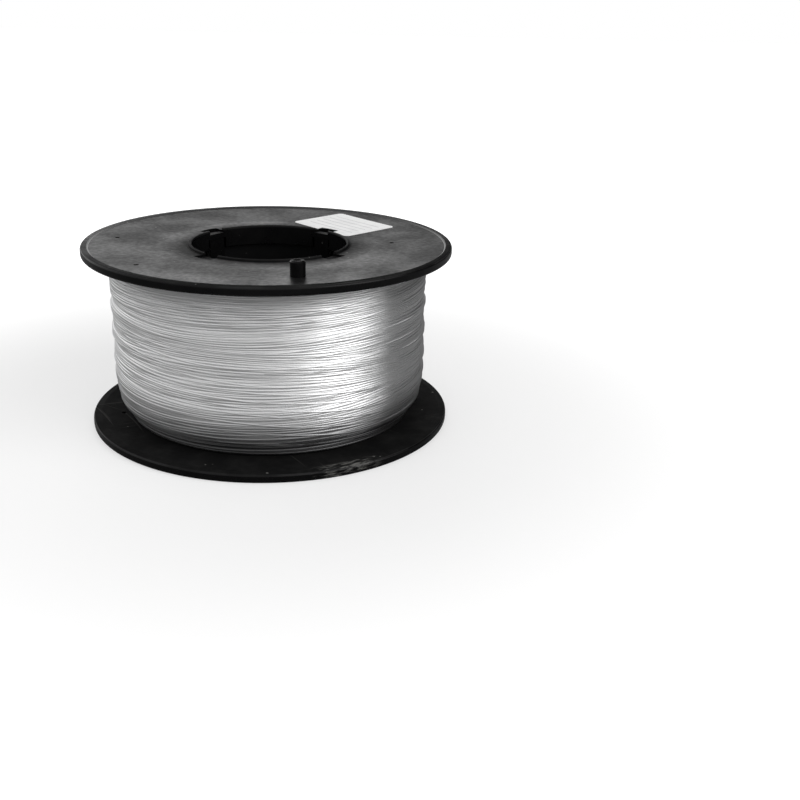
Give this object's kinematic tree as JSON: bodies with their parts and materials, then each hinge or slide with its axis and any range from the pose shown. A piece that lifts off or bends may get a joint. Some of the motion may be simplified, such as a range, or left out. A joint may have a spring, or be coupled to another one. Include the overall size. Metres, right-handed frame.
{
  "type": "fishing line spool",
  "caption": "Bulk spool of clear fishing line: black flanges snapped on a barrel, the wound line, a pull-out line-end plug and a bare label on top.",
  "frame": {"origin": "middle of the bottom of the box round the spool, on the spindle axis, with the spool standing on its lower flange", "axes": "+Z along the spindle bore, from the lower flange to the flange with the plug; -Y towards the side that the plug is on"},
  "size_m": [0.14, 0.14, 0.0748],
  "materials": {
    "flange_plastic": "moulded black plastic with a soft sheen",
    "barrel_plastic": "moulded black plastic",
    "nylon_line": "clear drawn nylon",
    "plug_plastic": "glossy black plastic",
    "label_paper": "white paper label"
  },
  "bodies": {
    "spool": {"lower_flange": "flange_plastic", "upper_flange": "flange_plastic", "core_barrel": "barrel_plastic", "line_inner_layers": "nylon_line", "line_outer_layer": "nylon_line", "line_outer_end": "nylon_line", "line_start_end": "nylon_line", "face_label": "label_paper"},
    "line_end_plug": {"line_end_plug": "plug_plastic"}
  },
  "joints": [
    {"name": "plug_pull", "type": "slide", "parent": "spool", "child": "line_end_plug", "axis": [0, 0, 1], "range_m": [0, 0.012]}
  ]
}
